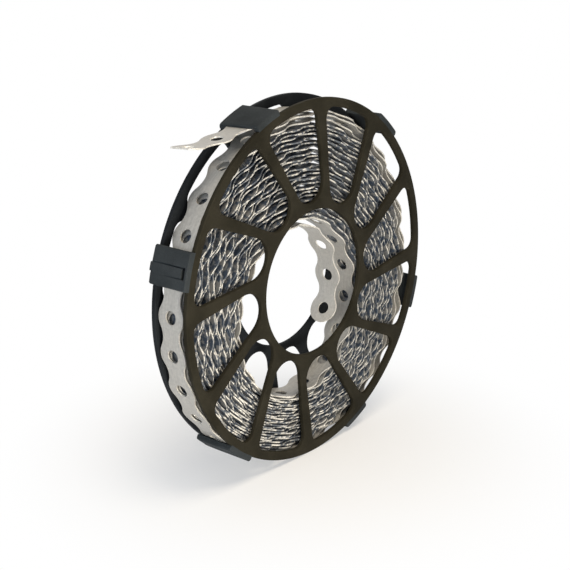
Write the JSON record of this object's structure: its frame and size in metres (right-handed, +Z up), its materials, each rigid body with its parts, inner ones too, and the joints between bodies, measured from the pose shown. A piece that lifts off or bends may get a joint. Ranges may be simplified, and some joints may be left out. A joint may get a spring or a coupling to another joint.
{
  "type": "perforated metal strap on a dispenser reel",
  "caption": "Lobed galvanised mounting strap with a round hole in every lobe, coiled loosely in an open dispenser reel of two spoked round covers, with its free end out under a hood.",
  "frame": {"origin": "centre of the reel, on its axis and midway between the covers' outer faces", "axes": "+Y along the reel's axis, from the front cover to the rear cover; +Z up as the reel stands, with the strap's outlet at the top left"},
  "size_m": [0.2019, 0.0252, 0.2],
  "materials": {
    "front_cover": "moulded black plastic with a fine grain",
    "rear_cover": "moulded black plastic with a fine grain",
    "zinc_steel": "galvanised steel strip, satin, with dull punched edges"
  },
  "bodies": {
    "root": {"front_cover": "front_cover", "rear_cover": "rear_cover", "perforated_strap": "zinc_steel"}
  },
  "joints": []
}
